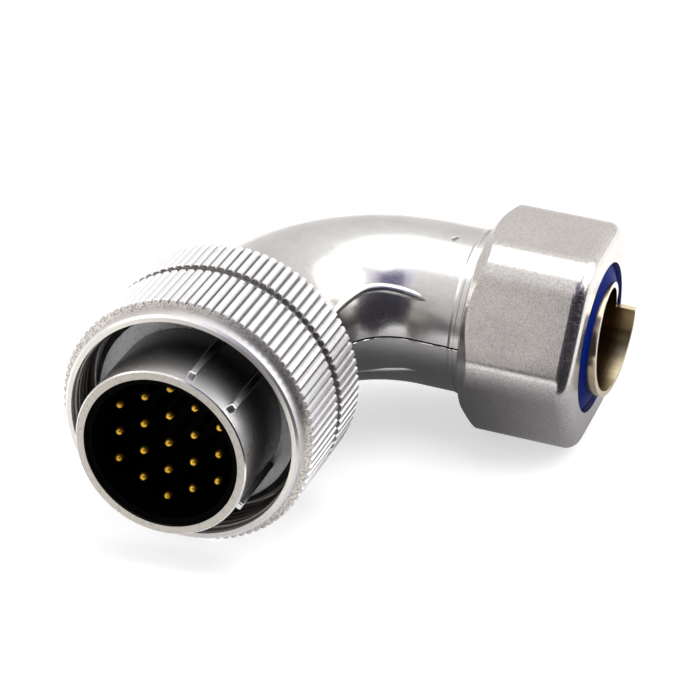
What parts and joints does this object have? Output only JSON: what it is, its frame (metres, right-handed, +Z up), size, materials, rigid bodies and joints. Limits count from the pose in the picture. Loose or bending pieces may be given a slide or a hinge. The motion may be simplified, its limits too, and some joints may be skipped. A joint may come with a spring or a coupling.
{
  "type": "circular connector",
  "caption": "Right-angle circular power and signal plug with a knurled coupling nut, a knurled lock ring, a split metal elbow and a clamp nut for conduit.",
  "frame": {"origin": "centre of the barrel's front rim, on the plug's axis", "axes": "-Y out of the plug's mouth, +X out of the conduit outlet, +Z up, square to both"},
  "size_m": [0.0743, 0.0816, 0.041],
  "materials": {
    "shell_nickel": "matte nickel plating",
    "ring_nickel": "bright nickel plating on the ribs, matte on the faces",
    "elbow_nickel": "satin nickel plating over a smooth casting",
    "nut_satin": "fine blasted satin nickel plating",
    "spring_steel": "plain spring steel",
    "insulator_black": "black moulded insulator",
    "contact_gold": "gold plated",
    "gasket_black": "flat black rubber",
    "seal_blue": "smooth blue elastomer",
    "ferrule_brass": "thin nickel over brass, worn to brass at the rim"
  },
  "bodies": {
    "plug": {"plug_shell": "shell_nickel", "friction_washer": "spring_steel", "retaining_clip": "spring_steel", "pin_insert": "insulator_black", "rear_insert": "insulator_black", "insert_ring": "shell_nickel", "elbow_gasket": "gasket_black", "elbow_upper_half": "elbow_nickel", "elbow_lower_half": "elbow_nickel", "sealing_ring": "seal_blue", "conduit_ferrule": "ferrule_brass", "contact_pin_01": "contact_gold", "contact_pin_02": "contact_gold", "contact_pin_03": "contact_gold", "contact_pin_04": "contact_gold", "contact_pin_05": "contact_gold", "contact_pin_06": "contact_gold", "contact_pin_07": "contact_gold", "contact_pin_08": "contact_gold", "contact_pin_09": "contact_gold", "contact_pin_10": "contact_gold", "contact_pin_11": "contact_gold", "contact_pin_12": "contact_gold", "contact_pin_13": "contact_gold", "contact_pin_14": "contact_gold", "contact_pin_15": "contact_gold", "contact_pin_16": "contact_gold", "contact_pin_17": "contact_gold", "contact_pin_18": "contact_gold", "contact_pin_19": "contact_gold"},
    "coupling_nut_body": {"coupling_nut": "ring_nickel"},
    "lock_ring_slide": {"ring_washer": "spring_steel"},
    "lock_ring_body": {"lock_ring": "ring_nickel"},
    "clamp_nut_slide": {"slip_washer": "spring_steel"},
    "clamp_nut_body": {"clamp_nut": "nut_satin"}
  },
  "joints": [
    {"name": "coupling_nut_turn", "type": "hinge", "parent": "plug", "child": "coupling_nut_body", "pos_m": [0, 0.0145, 0], "axis": [0, -1, 0], "continuous": true},
    {"name": "lock_ring_travel", "type": "slide", "parent": "plug", "child": "lock_ring_slide", "axis": [0, 1, 0], "range_m": [0, 0.005]},
    {"name": "lock_ring_turn", "type": "hinge", "parent": "lock_ring_slide", "child": "lock_ring_body", "pos_m": [0, 0.0262, 0], "axis": [0, 1, 0], "range_deg": [0, 1199]},
    {"name": "clamp_nut_travel", "type": "slide", "parent": "plug", "child": "clamp_nut_slide", "axis": [1, 0, 0], "range_m": [0, 0.012]},
    {"name": "clamp_nut_turn", "type": "hinge", "parent": "clamp_nut_slide", "child": "clamp_nut_body", "pos_m": [0.0409, 0.063, 0], "axis": [1, 0, 0], "range_deg": [0, 2879]}
  ],
  "couplings": [
    {"joint": "lock_ring_travel", "follows": "lock_ring_turn", "m_per_rad": 0.00023873},
    {"joint": "clamp_nut_travel", "follows": "clamp_nut_turn", "m_per_rad": 0.00023873}
  ]
}
